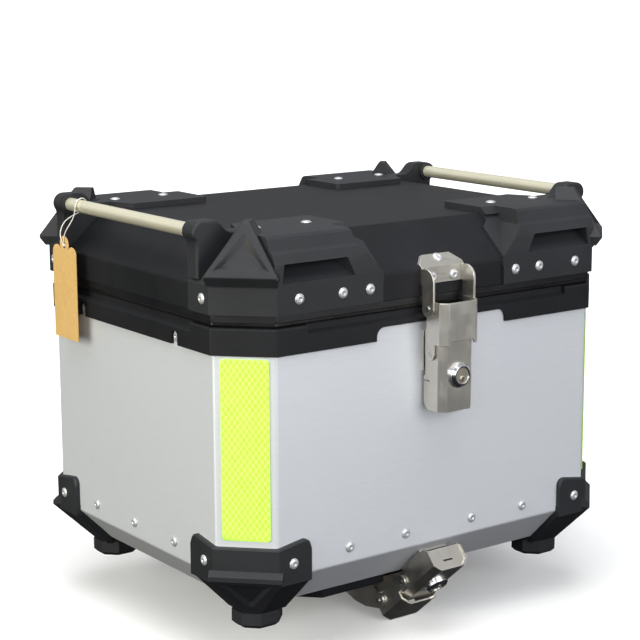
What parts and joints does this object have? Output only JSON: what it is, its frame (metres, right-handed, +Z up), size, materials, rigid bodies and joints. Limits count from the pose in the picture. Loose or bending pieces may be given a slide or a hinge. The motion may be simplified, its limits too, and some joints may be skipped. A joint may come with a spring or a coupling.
{
  "type": "motorcycle top case",
  "caption": "Lockable box with cut corners and a hinged lid, side bars, corner guards, folding draw latches and a quick-release plate for a luggage rack.",
  "frame": {"origin": "the middle of the base plate's underside, where it rests on the rack; the soles of the feet are 10 mm below it", "axes": "+Z up, -Y towards the latch side (the rider's rear side), +Y towards the hinges, +X to the right seen from the latch side"},
  "size_m": [0.4583, 0.3917, 0.3916],
  "materials": {
    "body_sheet": "silver anodised sheet with a fine horizontal grain",
    "inner_sheet": "plain mill-finish sheet",
    "lid_sheet": "black powder coat with a fine texture",
    "black_plastic": "satin black moulding, finely grained",
    "plate_plastic": "black glass-filled moulding",
    "seal_rubber": "glossy black rubber",
    "mat_rubber": "soft black foam rubber",
    "reflector_film": "fluorescent yellow-green film with small cells",
    "bar_tube": "pale champagne anodised tube",
    "latch_steel": "brushed stainless sheet with bright cut edges",
    "lock_chrome": "polished",
    "pin_steel": "plain steel",
    "rivet_aluminium": "pale domed heads",
    "coated_steel": "black coated steel",
    "tag_card": "plain kraft card",
    "tag_cord": "white cord"
  },
  "bodies": {
    "case": {"body_shell": "body_sheet", "floor_pan": "inner_sheet", "floor_mat": "mat_rubber", "collar_frame": "black_plastic", "corner_bracket_front_left": "black_plastic", "corner_bracket_front_right": "black_plastic", "corner_bracket_rear_left": "black_plastic", "corner_bracket_rear_right": "black_plastic", "reflector_front_left": "reflector_film", "reflector_front_right": "reflector_film", "reflector_rear_left": "reflector_film", "reflector_rear_right": "reflector_film", "hinge_left_case_leaf": "coated_steel", "hinge_right_case_leaf": "coated_steel", "hinge_left_pin": "pin_steel", "hinge_right_pin": "pin_steel", "lid_latch_keeper": "latch_steel", "base_latch_keeper": "latch_steel", "dock_rail": "coated_steel", "case_rivets": "rivet_aluminium"},
    "lid": {"lid_shell": "lid_sheet", "lid_rim": "black_plastic", "lid_seal": "seal_rubber", "lid_guard_front_left": "black_plastic", "lid_guard_front_right": "black_plastic", "lid_guard_rear_left": "black_plastic", "lid_guard_rear_right": "black_plastic", "handle_bar_left": "bar_tube", "handle_bar_right": "bar_tube", "hinge_left_lid_leaf": "coated_steel", "hinge_right_lid_leaf": "coated_steel", "lid_latch_bracket": "latch_steel", "lid_latch_ear_pin": "pin_steel", "lid_rivets": "rivet_aluminium"},
    "lid_latch_link": {"lid_latch_hood": "latch_steel", "lid_latch_arm_rivets": "pin_steel"},
    "lid_latch_handle": {"lid_latch_lever": "latch_steel", "lid_latch_lever_cap": "latch_steel", "lid_lock_housing": "lock_chrome"},
    "lid_lock": {"lid_lock_plug": "lock_chrome"},
    "dock": {"base_plate": "plate_plastic", "base_latch_bracket": "latch_steel", "base_latch_screws": "pin_steel", "base_latch_ear_pin": "pin_steel"},
    "base_latch_link": {"base_latch_hood": "latch_steel", "base_latch_arm_rivets": "pin_steel"},
    "base_latch_handle": {"base_latch_lever": "latch_steel", "base_latch_lever_cap": "latch_steel", "base_lock_housing": "lock_chrome"},
    "base_lock": {"base_lock_plug": "lock_chrome"},
    "tag": {"hang_tag": "tag_card", "tag_string": "tag_cord"}
  },
  "joints": [
    {"name": "lid_open", "type": "hinge", "parent": "case", "child": "lid", "pos_m": [0, 0.181, 0.2675], "axis": [-1, 0, 0], "range_deg": [0, 80]},
    {"name": "lid_latch_swing", "type": "hinge", "parent": "lid", "child": "lid_latch_link", "pos_m": [-0.002, -0.1863, 0.2624], "axis": [-1, 0, 0], "range_deg": [0, 80]},
    {"name": "lid_latch_lever_open", "type": "hinge", "parent": "lid_latch_link", "child": "lid_latch_handle", "pos_m": [-0.002, -0.1863, 0.2224], "axis": [-1, 0, 0], "range_deg": [0, 60]},
    {"name": "lid_key_turn", "type": "hinge", "parent": "lid_latch_handle", "child": "lid_lock", "pos_m": [-0.002, -0.19, 0.2036], "axis": [0, -1, 0], "range_deg": [0, 90]},
    {"name": "dock_release", "type": "slide", "parent": "case", "child": "dock", "axis": [0, -1, 0], "range_m": [0, 0.016]},
    {"name": "base_latch_swing", "type": "hinge", "parent": "dock", "child": "base_latch_link", "pos_m": [0, -0.1155, -0.0244], "axis": [1, 0, 0], "range_deg": [0, 80]},
    {"name": "base_latch_lever_open", "type": "hinge", "parent": "base_latch_link", "child": "base_latch_handle", "pos_m": [0, -0.14569, 0.00184], "axis": [1, 0, 0], "range_deg": [0, 60]},
    {"name": "base_key_turn", "type": "hinge", "parent": "base_latch_handle", "child": "base_lock", "pos_m": [0, -0.15988, 0.01418], "axis": [0, -0.6561, -0.7547], "range_deg": [0, 90]},
    {"name": "tag_swing", "type": "hinge", "parent": "lid", "child": "tag", "pos_m": [-0.214, 0.09, 0.339], "axis": [0, 1, 0], "range_deg": [0, 40]}
  ]
}
